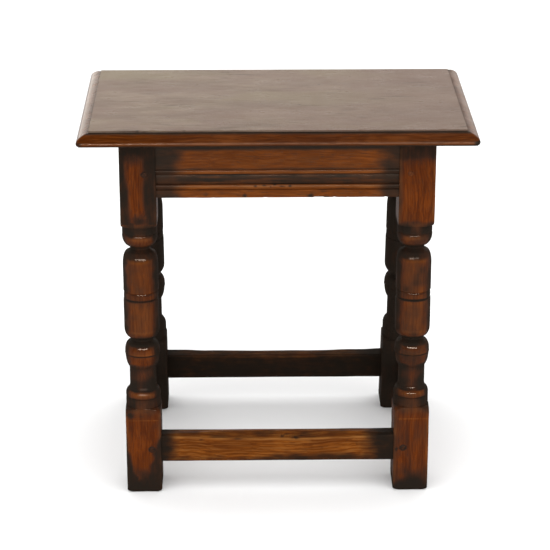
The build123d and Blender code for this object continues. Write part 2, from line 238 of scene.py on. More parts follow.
# outline of a front leg, from the sole up: height and radius of a point, or the end and the
# corner of a quarter round
LEG_STEPS = [
    (0, 26.4),
    ((6, 32.0), (0, 32.0)),
    (106, 32.0),
    ((LOW_BLOCK_TOP, 23.0), (LOW_BLOCK_TOP, 32.0)),
    (127.2, T),
    (128.5, T - 0.8),
    (129.8, T),
    (132.5, T),
    ((138.8, 20.4), (136.2, T)),
    (139.0, 20.0),
    ((146, 17.4), (139.8, 17.5)),
    (170, 17.4),
    ((187, 22.3), (172.5, 21.8)),
    (188, 22.1),
    (189, 23.0),
    (190.2, T - 0.1),
    (192, T - 0.1),
    ((204.2, 18.2), (202.5, T - 0.1)),
    (204.4, 17.6),
    ((206.8, 14.4), (205.6, 15.6)),
    (209, 14.4),
    (210.5, 15.8),
    ((223.5, T + 0.2), (211, T + 0.2)),
    (259, T + 0.2),
    (262.8, T),
    (264, T - 1.1),
    ((267, T - 0.4), (264.6, T - 0.4)),
    ((273, T - 1.1), (272.6, T - 0.4)),
    (274.6, T),
    (309, T),
    ((327.4, 17.4), (326.4, T)),
    (327.7, 16.6),
    ((330.6, 12.8), (329, 14.2)),
    (332.4, 12.8),
    (334.4, 14.8),
    ((348.5, T), (336, T)),
    (350.6, T - 0.1),
    (351.6, T - 0.8),
    (352.6, T - 0.2),
    (362, T - 0.2),
    (HIGH_BLOCK_BOTTOM, 23.1),
    ((HIGH_BLOCK_FULL, 32.0), (HIGH_BLOCK_BOTTOM, 32.0)),
    (HIGH_BLOCK_FULL, 40),
    (486, 40),
]
# turned parts of a rear leg sit higher than those of a front leg: height, then rise
REAR_RISES = (
    (0, 0), (127, 0), (141, 3), (148, 3), (172, 8), (209, 8),
    (264, 11), (352.6, 11), (362, 2.4), (HIGH_BLOCK_FULL, 0), (486, 0),
)
# heights at which a leg has rings of points: start, stop, step
LEG_RINGS = (
    (0, 112, 2.5), (HIGH_BLOCK_FULL, 486, 2.5), (116, 365, 2.2),
    (98.6, 101.5, 0.35), (52, 66, 0.8), (425, 440, 0.8),
)
# and where the blocks' corners begin: start, stop, count
LEG_CORNER_RINGS = ((111.5, LOW_BLOCK_TOP, 30), (365, 371.5, 30))
SOLE_RINGS = (0, 0.3, 0.7, 1.2, 1.8)
LEG_RING_END = 485.6
SOLE_LEVEL, HEAD_LEVEL = 30, 440  # beyond these heights the rings tilt to the floor and the board
SOLE_ROUND = 2.6
LEG_WEAR, LEG_DENTS = 0.28, 0.12  # unevenness of the surface
ARRIS, ARRIS_WEAR = 1.5, 0.8  # rounding of the blocks' arrises, and how much it varies
SCORE_DEPTH = 0.25

# dirt along the leg: height, then how dark
LEG_DIRT = (
    (0, 0.95), (10, 0.85), (22, 0.6), (36, 0.25), (50, 0.12), (98, 0.12), (106, 0.3), (113, 0.6),
    (117, 0.8), (127, 0.85), (129, 0.85), (131, 0.3), (134, 0.2), (137.4, 0.5), (139, 0.95), (151, 0.95),
    (157, 0.75), (163, 0.7), (168, 0.9), (174, 0.9), (177.5, 0.35), (186.6, 0.2), (187.5, 0.95),
    (188.5, 0.95), (189.6, 0.25), (195, 0.2), (199, 0.45), (202, 0.85), (212, 0.95), (216, 0.4),
    (222, 0.15), (261, 0.12), (263, 0.9), (264.6, 0.9), (266, 0.3), (269, 0.2), (272, 0.6), (275, 0.2),
    (280, 0.1), (309, 0.1), (316, 0.3), (320, 0.8), (335, 0.95), (338.5, 0.6), (343, 0.4), (347, 0.35),
    (350, 0.7), (354, 0.9), (361, 0.9), (364, 0.8), (368, 0.6), (372, 0.15), (438, 0.15), (452, 0.5),
    (470, 0.9), (486, 0.95),
)
# single marks on the front of each front leg: across, up, half width, half height, strength
LEG_MARKS = {
    -1: (
        (3, 372, 19, 10, 0.75), (12, 60, 5, 7, 0.6), (-15, 20, 2, 3, 0.6), (18, 40, 6, 30, 0.7),
        (-16, 88, 5, 9, 0.4), (14, 92, 5, 7, 0.5), (20, 55, 5, 14, 0.85), (15, 20, 9, 14, 0.8),
        (-22, 60, 3, 40, 0.7), (-17, 108, 8, 6, 0.85), (-2, 106, 9, 3, 0.5), (6, 112, 14, 3, 0.6),
    ),
    1: (
        (-19.5, 57.5, 3.5, 4.5, 0.95), (12, 6.8, 3, 3, 0.7), (-20, 30, 5, 28, 0.6), (17, 70, 5, 26, 0.35),
    ),
}
# half width of the clean wood on the left front leg's lower block: height, half width
CLEAN_WIDTH = ((16, 0), (34, 7), (60, 15), (100, 26))
# rubbed high points of the turning, lighter along its front middle as painted highlights: height, half height
LEG_CRESTS = ((190.6, 1.5), (134.5, 3), (347, 3), (317, 4), (221, 3))
# dirt and painted shade on a rear leg:
REAR_DARK = 0.95  # how dark a rear leg is on the sides turned to the front


def raised(step):
    """A step of the leg's outline moved up to its place on a rear leg."""
    if isinstance(step[0], tuple):
        return tuple(raised(point) for point in step)
    heights, rises = zip(*REAR_RISES)
    return (step[0] + float(np.interp(step[0], heights, rises)), step[1])


def square_radius(theta, half, arris):
    """Distance from the centre to a square of that half width with rounded corners."""
    fold = np.abs((theta + math.pi / 4) % (math.pi / 2) - math.pi / 4)
    flat = half / np.cos(fold)
    d = (half - arris) * math.sqrt(2)
    delta = math.pi / 4 - fold
    arc = d * np.cos(delta) + np.sqrt(np.maximum(arris**2 - (d * np.sin(delta)) ** 2, 0))
    return np.where(half * np.tan(fold) > half - arris, arc, flat)


def leg_angles():
    """Angles round the leg, close together at the four arrises."""
    base = np.arctan2(np.linspace(-21, 21, 19), LEG_HALF)
    corner = math.pi / 4 + np.array([-0.031, -0.02, -0.01, 0, 0.01, 0.02, 0.031])
    one = np.concatenate([base, corner])
    return np.concatenate([one + k * math.pi / 2 for k in range(4)])


def leg_heights(outline):
    stations = [outline[:, 0], np.array(SOLE_RINGS)]
    stations += [np.arange(*ring) for ring in LEG_RINGS]
    stations += [np.linspace(*ring) for ring in LEG_CORNER_RINGS]
    s = np.unique(np.round(np.concatenate(stations), 3))
    return s[s < LEG_RING_END]


def leg_shape(y_side, seed):
    """Points and faces of a leg, upright round its centre line."""
    outline = trace([raised(step) for step in LEG_STEPS] if y_side > 0 else LEG_STEPS, 9)
    s = leg_heights(outline)
    theta = leg_angles()
    grid_s, grid_t = np.meshgrid(s, theta, indexing="ij")
    turned = np.repeat(np.interp(s, outline[:, 0], outline[:, 1])[:, None], len(theta), 1)

    # the square is cut from the turning's outline; its arrises are worn unevenly
    corner = np.floor((grid_t + math.pi / 2) / (math.pi / 2))
    along_corner = np.stack([grid_s.ravel(), corner.ravel() * 50, grid_s.ravel() * 0], 1)
    wobble = noise(along_corner, 16, seed).reshape(grid_s.shape)
    square = square_radius(grid_t, LEG_HALF, ARRIS + ARRIS_WEAR * np.clip(wobble, -0.6, 1))
    rad = np.minimum(turned, square)
    rad = rad - np.clip(0.5 - np.abs(turned - square), 0, 0.5) ** 2 * 0.5
    rad = rad - SCORE_DEPTH * hump(grid_s, SCORE, 0.45)
    edge = np.clip(SOLE_ROUND - grid_s, 0, SOLE_ROUND)
    rad = rad - (SOLE_ROUND - np.sqrt(SOLE_ROUND**2 - edge**2)) * 0.9

    # the sole is level on the floor and the head level under the board
    x, v = rad * np.cos(grid_t), rad * np.sin(grid_t)
    lean = -y_side
    sole = lean * v * math.tan(RAKE)
    head = (UNDERSIDE + lean * v * math.sin(RAKE)) / math.cos(RAKE)
    low = sole + grid_s / SOLE_LEVEL * (SOLE_LEVEL - sole)
    high = HEAD_LEVEL + (grid_s - HEAD_LEVEL) / (s[-1] - HEAD_LEVEL) * (head - HEAD_LEVEL)
    z = np.where(grid_s < SOLE_LEVEL, low, np.where(grid_s > HEAD_LEVEL, high, grid_s))
    co, faces = loft(np.stack([x, v, z], -1))

    co = weather(co, faces, LEG_WEAR, (9, 9, 26), seed)
    bump = noise(co, (5, 5, 9), seed + 7)
    co = co - normals(co, faces) * (LEG_DENTS * np.clip(bump, 0, 1))[:, None]
    co[:, 2] = np.maximum(co[:, 2], lean * co[:, 1] * math.tan(RAKE))
    return co, faces


def leg_fields(co, here, seed):
    """Per point: radius, one on the turned part, soft clouds, and how far it is to the side."""
    rr = np.hypot(co[:, 0], co[:, 1])
    turned = smooth(here, 106, 114) * (1 - smooth(here, 364, 370))
    cloud = noise(co, (11, 11, 9), seed + 3)
    aside = np.abs(co[:, 0] + 2.5 * cloud) / np.maximum(rr, 1)
    return rr, turned, cloud, aside


def leg_patina_and_shade(co, here, x_side, y_side, seed):
    """Dark in the recesses, under the board and at the sole; dirt and painted shade on the hidden sides;
    painted shade at the sides of the turning.
    """
    rr, turned, cloud, aside = leg_fields(co, here, seed)
    along, amount = zip(*LEG_DIRT)
    dark = np.interp(here + 1.5 * cloud * (1 - turned), along, amount)
    dark = dark - 0.7 * dark * (1 - dark) * np.clip(cloud, 0, 1) + 0.12 * np.clip(-cloud, 0, 1)
    # dirt and painted shade on the sides turned in towards the stool
    inward = np.maximum(smooth(-y_side * co[:, 1], 8, 20), smooth(-x_side * co[:, 0], 12, 22) * 0.8)
    dark = np.maximum(dark, 0.75 * inward)

    # the turning is painted lighter along the middle of its front and darker at its sides: painted shading of
    # the round
    facing = y_side * co[:, 1] / np.maximum(rr, 1)
    outer = np.maximum(1 - smooth(here, 176, 200), smooth(here, 340, 350)) * turned
    dark = dark * (1 - 0.2 * outer * (1 - smooth(aside, 0.1, 0.55)))
    dark = np.maximum(dark, 0.9 * smooth(aside, 0.35, 0.95) * turned)
    dark = np.maximum(dark, (0.4 if x_side < 0 else 0.54) * turned * (1 + 0.35 * cloud))

    # blocks: each front leg is dirty in its own way
    block = smooth(here, 365, 368)
    grain = noise(co, (5, 5, 40), seed + 21)
    if y_side < 0 and x_side < 0:
        streak = np.abs(co[:, 0] + 1.0 + 2.5 * np.sin(here / 31)) / 11
        front = smooth(facing, 0, 0.6)
        dark = np.maximum(dark, block * 0.85 * smooth(streak + 0.3 * grain, 0.2, 1.35) * front)
        dark = np.maximum(dark, 0.9 * smooth(here + 4 * cloud, 440, 462))
        clean = np.interp(here, *zip(*CLEAN_WIDTH))
        low = (1 - smooth(here, 92, 104)) * front
        dark = np.maximum(dark, 0.9 * low * smooth(np.abs(co[:, 0] + 3) + 3 * cloud - clean, 0, 8))
    if y_side < 0 and x_side > 0:
        dark = np.maximum(dark, block * 0.8 * smooth(here + 5 * noise(co, 9, seed + 3), 440, 454))
        dark = np.maximum(dark, 0.3 * (1 - smooth(here, 96, 104)) * (1 + grain))

    # a dark ring round each peg
    for height, inset in PEG_PLACES:
        d = np.hypot(co[:, 0] + x_side * (LEG_HALF - inset), here - height)
        ring = 0.3 if x_side > 0 and height > HIGH_BLOCK_FULL else 0.95
        dark = np.maximum(dark, smooth(facing, 0, 0.5) * ring * (1 - smooth(d, 3.6, 5.6)))
    # rear legs: dirt and painted shade on the sides turned to the front
    if y_side > 0:
        return np.maximum(dark, REAR_DARK - 0.5 * smooth(facing, 0.2, 0.8))
    return np.maximum(dark, smooth(facing, 0.3, 0.7) * marks(co[:, 0], here, LEG_MARKS[x_side]))


def leg_wear_and_highlights(co, here, y_side, seed):
    """Rubbed high points of the turning with painted highlights along its front middle, arrises of the blocks
    and the scored line.
    """
    rr, turned, _, aside = leg_fields(co, here, seed)
    # rub on the raised parts fades to the sides: painted highlight along the front middle
    rub = np.clip((rr - 22.0) / 1.0, 0, 1) * turned * 0.35 * (1 - smooth(aside, 0.3, 0.8))
    arris = smooth(rr, 30.2, 31.4) * (1 - turned)
    rub = np.maximum(rub, arris * (0.5 + 0.5 * noise(co, 14, seed + 11)))
    # crests: rubbed, with painted highlights along the front middle
    for top, width in LEG_CRESTS:
        rub = np.maximum(rub, 0.5 * hump(here, top, width) * (1 - smooth(aside, 0.3, 0.9)))
    dash = 0.5 + 0.5 * noise(co, (3, 3, 9), seed + 15)
    rub = np.maximum(rub, 0.7 * dash * hump(here, SCORE, 0.7))
    return rub * 0.4 if y_side > 0 else rub


def build_leg(name, x_side, y_side, seed):
    co, faces = leg_shape(y_side, seed)
    obj = make_piece("turned_" + name, co, faces, leaning(y_side, x_side * LEG_X), [name])
    heights, rises = np.array(REAR_RISES).T
    here = np.interp(co[:, 2], heights + rises, heights) if y_side > 0 else co[:, 2]
    dark = leg_patina_and_shade(co, here, x_side, y_side, seed)
    rub = leg_wear_and_highlights(co, here, y_side, seed)
    gco = np.stack([here, co[:, 0] + 91 * seed, co[:, 1] + 57 * seed], 1)
    paint(obj, dark=dark, rub=rub, gco=gco * MM)
    return obj


# ------------------------------------------------------------------ rails

# nicks and stains on the front rail: along, up, half length, half height, strength
RAIL_MARKS = (
    (-41, 404, 3, 3.5, 1), (41.9, 404, 5, 4, 1), (-28, 417, 2, 1.6, 0.95), (-17, 417.5, 3, 1.0, 0.9),
    (-9, 416, 1.2, 1.2, 0.8), (-4, 418, 2.4, 1.4, 0.95), (5, 416.5, 3.5, 1.0, 0.9), (15.5, 417, 2, 1.6, 0.95),
    (60, 410, 9, 3, 0.5), (-70, 408, 8, 3, 0.4), (-90, 406, 4, 3, 0.6),
)
RAIL_WEAR = 0.3  # unevenness of the surface
LONG_RAIL_RINGS, SIDE_RAIL_RINGS = 190, 100
SIDE_RAIL_REACH = 62  # half the length of a side rail's face
# dirt and painted shade on the rear rail:
REAR_RAIL_DARK = 0.7


def rail_outline():
    """Section of a rail: depth from its face, height from its lower edge."""
    top = UNDERSIDE / math.cos(RAKE) - RAIL_BOTTOM
    band = RAIL_BAND
    steps = [
        (0.9, 0),
        ((0, 0.9), (0, 0)),
        (0, band),
        (1.4, band + 1.0),
        (1.4, band + 1.4),
        ((0.2, band + 4.6), (0.2, band + 1.6)),
        ((1.9, band + 7.6), (0.2, band + 7.4)),
        (2.6, 17.8),
        ((1.9, 23.6), (1.9, 18.4)),
        ((2.6, 29.4), (1.9, 28.8)),
        (1.9, 30.6),
        ((0.2, 33.4), (0.2, 31.0)),
        ((1.4, 36.2), (0.2, 36.0)),
        (1.4, 36.6),
        (0, 37.2),
        (0, top),
        (RAIL_THICK, top),
        (RAIL_THICK, 0.9),
        ((RAIL_THICK - 0.9, 0), (RAIL_THICK, 0)),
    ]
    return dense(trace(steps, 6), 2.2)


def rail_patina_shade_and_highlights(depth, up, along, half, seed):
    """Dark at both ends and in the sunk parts; dirt and painted shade on the back; a painted shadow under the
    board; rubbed beads with painted highlights.
    """
    blotch = noise(np.stack([along, up, depth], 1), (14, 9, 9), seed)
    streak = noise(np.stack([along, up * 0, up], 1), (40, 9, 2.4), seed + 2)
    nick = noise(np.stack([along, up * 0, depth * 0], 1), (9, 9, 9), seed + 5)
    reach = np.abs(along) + 4 * blotch
    ends = np.where(along < 0, smooth(reach, half - 50, half - 16), smooth(reach, half - 42, half - 8))
    front = 1 - smooth(depth, 2.8, 5)
    sunk = smooth(depth, 0.5, 1.7) * front
    dark = np.maximum(0.85 * ends, (0.74 + 0.2 * streak) * sunk)
    # dirt and painted shade on the back
    dark = np.maximum(dark, 0.55 * smooth(depth, 4, 9))
    # painted shadow under the board's overhang
    dark = np.maximum(dark, 0.97 * smooth(up, 57.5, 65) * front)
    dark = np.maximum(dark, front * 0.62 * hump(up, 37.4, 2.0))
    dark = np.maximum(dark, front * 0.6 * hump(up, 17.6, 1.1))
    dark = np.maximum(dark, 0.9 * smooth(nick, 0.55, 0.8) * (1 - smooth(up, 0.5, 3.0)))
    # the beads: rubbed, and painted lighter as highlights
    bead = 1.15 * hump(up, 14.4, 1.2) + 0.45 * hump(up, 33.0, 0.9)
    rub = front * bead * 0.9 * smooth(half - np.abs(along), 4, 30) * (0.75 + 0.25 * blotch)
    return dark, rub


def build_rail_long(name, y_side, seed):
    section = rail_outline()
    n = LONG_RAIL_RINGS
    x = np.linspace(-SHOULDER_X - OVERLAP, SHOULDER_X + OVERLAP, n)
    depth, up = section[:, 0], section[:, 1]
    v = -FACE + depth
    head = (UNDERSIDE - v * -math.sin(RAKE)) / math.cos(RAKE)
    bend_at = RAIL_BOTTOM + RAIL_LEVEL
    stretched = bend_at + (up - RAIL_LEVEL) / (up.max() - RAIL_LEVEL) * (head - RAIL_BOTTOM - RAIL_LEVEL)
    s = np.where(up > RAIL_LEVEL, stretched, RAIL_BOTTOM + up)
    rings = np.zeros((n, len(section), 3))
    rings[:, :, 0] = x[:, None]
    rings[:, :, 1] = v[None, :]
    rings[:, :, 2] = s[None, :]
    co, faces = loft(rings)
    along = co[:, 0]
    low_edge = (co[:, 2] < RAIL_BOTTOM + 2) & (co[:, 1] < -18)
    nick = smooth(noise(np.stack([along, along * 0, along * 0], 1), (8, 8, 8), seed + 5), 0.5, 0.9)
    co[:, 2] += np.where(low_edge, 1.3 * nick, 0)
    co = weather(co, faces, RAIL_WEAR, (22, 6, 6), seed)
    if y_side > 0:
        co, faces = mirrored(co, 1, faces)
    obj = make_piece("moulded_" + name, co, faces, leaning(y_side), [name])
    dark, rub = rail_patina_shade_and_highlights(FACE - np.abs(co[:, 1]), co[:, 2] - RAIL_BOTTOM, along, SHOULDER_X, seed)
    # the rear rail gets dirt and painted shade, the front one its stains
    if y_side > 0:
        dark = np.maximum(dark, REAR_RAIL_DARK)
    else:
        spots = marks(along, co[:, 2], RAIL_MARKS) * (co[:, 1] < -17)
        dark = np.maximum(dark, spots)
        rub = rub * (1 - spots)
    gco = np.stack([along + 300 * seed, co[:, 1] + 31 * seed, co[:, 2]], 1)
    paint(obj, dark=dark, rub=rub, gco=gco * MM)
    return obj


def shoulder_y(z):
    """How far a side rail or stretcher reaches at that height, to just inside the raked leg."""
    return FOOT_Y - LEG_HALF / math.cos(RAKE) - z * math.tan(RAKE) + OVERLAP


def build_rail_side(name, x_side, seed):
    section = rail_outline()
    n = SIDE_RAIL_RINGS
    t = np.linspace(-1, 1, n)
    depth, up = section[:, 0], section[:, 1]
    z0 = RAIL_BOTTOM * math.cos(RAKE)
    z = np.where(up > RAIL_LEVEL, z0 + up * (UNDERSIDE - z0) / up.max(), z0 + up)
    rings = np.zeros((n, len(section), 3))
    rings[:, :, 0] = (-OUTER_X + SET_BACK + depth)[None, :]
    rings[:, :, 1] = -t[:, None] * shoulder_y(z)[None, :]
    rings[:, :, 2] = z[None, :]
    co, faces = loft(rings)
    co = weather(co, faces, RAIL_WEAR, (6, 22, 6), seed)
    if x_side > 0:
        co, faces = mirrored(co, 0, faces)
    obj = make_piece("moulded_" + name, co, faces, Matrix.Identity(4), [name])
    depth = OUTER_X - SET_BACK - np.abs(co[:, 0])
    dark, rub = rail_patina_shade_and_highlights(depth, co[:, 2] - z0, co[:, 1], SIDE_RAIL_REACH, seed)
    gco = np.stack([co[:, 1] + 300 * seed, co[:, 0], co[:, 2]], 1)
    paint(obj, dark=dark, rub=rub, gco=gco * MM)
    return obj


# ------------------------------------------------------------------ stretchers

# knots and tears on the front stretcher: along, up, half length, half height, strength
STRETCHER_MARKS = (
    (6, 33, 5, 1.3, 0.95), (13, 34.2, 8, 1.0, 0.9), (23, 32, 6, 1.7, 0.95), (31, 33.5, 5, 0.9, 0.7),
    (-100, 30, 3, 1, 0.7), (58, 18, 4, 2, 0.6), (66, 5, 20, 4, 0.6), (-52, 31, 8, 1, 0.6),
    (96, 31, 10, 1.2, 0.6), (-136, 18, 5, 10, 0.45),
)
STRETCHER_WEAR = 0.35  # unevenness of the surface
STRETCHER_ARRIS = 1.2
LONG_STRETCHER_RINGS, SIDE_STRETCHER_RINGS = 200, 130
SIDE_STRETCHER_REACH = 86


def worn_drop(worn):
    """How far the outer arris of a stretcher has sunk."""
    return 0.9 + 1.1 * worn


def stretcher_ring(worn, back_worn):
    """Section of a stretcher: depth from its face, height; the outer top arris is worn away."""
    drop = worn_drop(worn)
    reach = 1.6 + worn * 2.4
    b = 1.0 + back_worn * math.sqrt(2)
    h, d, e = STRETCHER_HEIGHT, STRETCHER_THICK, STRETCHER_ARRIS

    def corner(start, end, tip, pull, k):
        return bend(start, end, tip, pull, np.linspace(0, 1, k))

    def flat(start, end, k):
        t = np.linspace(0, 1, k + 2)[1:-1, None]
        return np.array(start, float) * (1 - t) + np.array(end, float) * t

    out = [
        corner((e, 0), (0, e), (0, 0), 0.55, 4),
        flat((0, e), (0, h - drop - 0.5), 12),
        corner((0, h - drop - 0.5), (0.7, h - drop), (0, h - drop), 0.5, 4),
        corner((0.7, h - drop), (reach + 0.7, h), (reach * 0.6, h - drop * 0.2), 0.3, 7),
        flat((reach + 0.7, h), (d - b, h), 7),
        corner((d - b, h), (d, h - b), (d, h), 0.45, 5),
        flat((d, h - b), (d, e), 12),
        corner((d, e), (d - e, 0), (d, 0), 0.55, 4),
        flat((d - e, 0), (e, 0), 7),
    ]
    return np.concatenate(out)


def top_worn(up, drop):
    """One on the worn top, nothing on the face below it."""
    return smooth(up, STRETCHER_HEIGHT - drop - 0.6, STRETCHER_HEIGHT - drop + 0.8)


def stretcher_patina_and_shade(depth, up, along, half, drop, seed):
    """Dark ends and lower edge, dirt and painted shade on the back; a light line where feet have bared the
    outer arris.
    """
    blotch = noise(np.stack([along, up, depth], 1), (12, 8, 8), seed)
    reach = np.abs(along) + 4 * blotch
    ends = np.where(along < 0, smooth(reach, half - 36, half - 2), smooth(reach, half - 58, half - 16))
    dark = np.maximum(0.95 * ends, (0.42 + 0.2 * blotch) * top_worn(up, drop))
    # dirt and painted shade on the back
    dark = np.maximum(dark, 0.6 * smooth(depth, 12, 18))
    right = smooth(along, -70, 20)
    low = 1 - smooth(up + 3 * blotch, 2 + 2 * right, 9 + 8 * right)
    dark = np.maximum(dark, (0.5 + 0.25 * right) * low)
    arris = hump(up, STRETCHER_HEIGHT - drop - 0.4, 0.9) * (1 - smooth(depth, 1.5, 3.5))
    bare = 0.6 + 0.4 * noise(np.stack([along, up * 0, depth * 0], 1), (15, 9, 9), seed + 4)
    rub = arris * bare * (1 - 0.6 * smooth(np.abs(along), half - 24, half - 2))
    return dark, rub


def drop_per_point(drops, around):
    """The sunk depth at each point of a loft, and at its two end points."""
    return np.append(np.repeat(drops, around), [drops[0], drops[-1]])


def build_stretcher_long(name, y_side, wear, seed):
    rings = []
    drops = []
    for a in np.linspace(-SHOULDER_X - OVERLAP, SHOULDER_X + OVERLAP, LONG_STRETCHER_RINGS):
        t = 1 - (a / SHOULDER_X) ** 2
        ripple = 0.35 * noise(np.array([[a, 0, 0]]), (26, 9, 9), seed)[0]
        worn = max(0.15, wear * t + ripple + 0.2)
        ring = stretcher_ring(worn, 0.25 + 0.8 * t)
        rings.append(np.stack([np.full(len(ring), a), -FACE + ring[:, 0], STRETCHER_BOTTOM + ring[:, 1]], 1))
        drops.append(worn_drop(worn))
    drop = drop_per_point(drops, len(rings[0]))
    co, faces = loft(np.array(rings))
    co = weather(co, faces, STRETCHER_WEAR, (24, 7, 7), seed + 1)
    if y_side > 0:
        co, faces = mirrored(co, 1, faces)
    obj = make_piece("worn_" + name, co, faces, leaning(y_side), [name])
    depth, up = FACE - np.abs(co[:, 1]), co[:, 2] - STRETCHER_BOTTOM
    dark, rub = stretcher_patina_and_shade(depth, up, co[:, 0], SHOULDER_X, drop, seed)
    # the rear stretcher: dirt and painted shade, lighter along its worn middle
    if y_side > 0:
        mid = 1 - (co[:, 0] / SHOULDER_X) ** 2
        dark = np.maximum(dark, 0.97 - mid * (0.06 + 0.2 * top_worn(up, drop))) - 0.5 * rub
        rub = rub * (0.3 + 0.6 * mid)
    else:
        dark = np.maximum(dark, marks(co[:, 0], up, STRETCHER_MARKS))
    gco = np.stack([co[:, 0] + 300 * seed, co[:, 1] + 17 * seed, co[:, 2]], 1)
    paint(obj, dark=dark, rub=rub, gco=gco * MM)
    return obj


def build_stretcher_side(name, x_side, wear, seed):
    z0 = STRETCHER_BOTTOM * math.cos(RAKE)
    rings = []
    drops = []
    for a in np.linspace(-1, 1, SIDE_STRETCHER_RINGS):
        worn = wear * (1 - a * a) + 0.2
        ring = stretcher_ring(worn, 0.2)
        z = z0 + ring[:, 1]
        rings.append(np.stack([-OUTER_X + SET_BACK + ring[:, 0], -a * shoulder_y(z), z], 1))
        drops.append(worn_drop(worn))
    drop = drop_per_point(drops, len(rings[0]))
    co, faces = loft(np.array(rings))
    co = weather(co, faces, STRETCHER_WEAR, (7, 24, 7), seed + 1)
    if x_side > 0:
        co, faces = mirrored(co, 0, faces)
    obj = make_piece("worn_" + name, co, faces, Matrix.Identity(4), [name])
    depth = OUTER_X - SET_BACK - np.abs(co[:, 0])
    dark, rub = stretcher_patina_and_shade(depth, co[:, 2] - z0, co[:, 1], SIDE_STRETCHER_REACH, drop, seed)
    gco = np.stack([co[:, 1] + 300 * seed, co[:, 0], co[:, 2]], 1)
    paint(obj, dark=dark, rub=rub, gco=gco * MM)
    return obj


# ------------------------------------------------------------------ top board

# section of the edge: distance in from the nose at the ends, depth below the field
BOARD_STEPS = (
    (END_BORDER, 0),
    (15.05, 0.5),
    (15.0, 1.4),
    (14.8, 2.0),
    ((0.7, 9.9), (4.3, 2.4)),
    ((0, 12.6), (0, 11.4)),
    ((3.2, 16.5), (0, 16.5)),
)
WIDER = SIDE_BORDER / END_BORDER  # the moulding is this much wider along the sides
FIELD_EDGE = (0, 0.15, 0.4, 0.8, 1.4, 2.2, 3.2, 4.6, 6.5, 9)  # rows of points near the field's edge
FIELD_INNER = 12  # beyond this distance from the edge the rows are even
FIELD_ROWS = (170, 90)  # number of even rows along the board and across it
BOARD_WEAR, BOARD_DENTS, CHIP_DEPTH = 0.22, 0.1, 0.6


def field_rows(half, count):
    edge = np.array(FIELD_EDGE)
    even = np.linspace(-half + FIELD_INNER, half - FIELD_INNER, count)
    return np.concatenate([-half + edge, even, (half - edge)[::-1]])


def board_ring(edge, inset):
    """The border of the field moved out to that distance from the nose, with rounded corners."""
    rx, ry = BOARD_LENGTH / 2 - inset, BOARD_WIDTH / 2 - inset * WIDER
    p = edge * [rx / (BOARD_LENGTH / 2 - END_BORDER), ry / (BOARD_WIDTH / 2 - SIDE_BORDER)]
    radius = max(0.3, BOARD_CORNER * (1 - inset / 11))
    straight = np.array([rx - radius, ry - radius])
    over = np.maximum(np.abs(p) - straight, 0)
    length = np.hypot(over[:, 0], over[:, 1])
    at_corner = (over[:, 0] > 0) & (over[:, 1] > 0) & (length > 1e-9)
    scale = np.where(at_corner, radius / np.maximum(length, 1e-9), 1)
    rounded = np.sign(p) * (np.minimum(np.abs(p), straight) + over * scale[:, None])
    return np.where(at_corner[:, None], rounded, p)


def board_shape():
    """Points and faces of the board: a grid for the field, rings for the edge, a grid below."""
    hx, hy = BOARD_LENGTH / 2, BOARD_WIDTH / 2
    fx, fy = hx - END_BORDER, hy - SIDE_BORDER
    gx, gy = field_rows(fx, FIELD_ROWS[0]), field_rows(fy, FIELD_ROWS[1])
    nx, ny = len(gx), len(gy)
    grid = np.stack(np.meshgrid(gx, gy, indexing="ij"), -1).reshape(-1, 2)
    index = np.arange(nx * ny).reshape(nx, ny)
    border = np.concatenate([index[:-1, 0], index[-1, :-1], index[:0:-1, -1], index[0, :0:-1]])
    cells = [(i, j) for i in range(nx - 1) for j in range(ny - 1)]
    faces = [(index[i, j], index[i + 1, j], index[i + 1, j + 1], index[i, j + 1]) for i, j in cells]
    co = [np.column_stack([grid, np.full(len(grid), HEIGHT)])]
    edge = grid[border]
    last = border
    count = nx * ny
    m = len(border)
    for inset, down in trace(BOARD_STEPS, 14)[1:]:
        co.append(np.column_stack([board_ring(edge, inset), np.full(m, HEIGHT - down)]))
        ring = np.arange(count, count + m)
        count += m
        for k in range(m):
            after = (k + 1) % m
            faces.append((last[after], last[k], ring[k], ring[after]))
        last = ring
    nose = BOARD_STEPS[-1][0][0]
    under = grid * [(hx - nose) / fx, (hy - nose * WIDER) / fy]
    inner = np.ones(nx * ny, bool)
    inner[border] = False
    remap = np.zeros(nx * ny, int)
    remap[border] = last
    remap[inner] = np.arange(count, count + inner.sum())
    co.append(np.column_stack([under, np.full(len(under), UNDERSIDE)])[inner])
    for i, j in cells:
        cell = (index[i, j], index[i, j + 1], index[i + 1, j + 1], index[i + 1, j])
        faces.append(tuple(remap[list(cell)]))
    return np.concatenate(co), [tuple(int(a) for a in f) for f in faces]


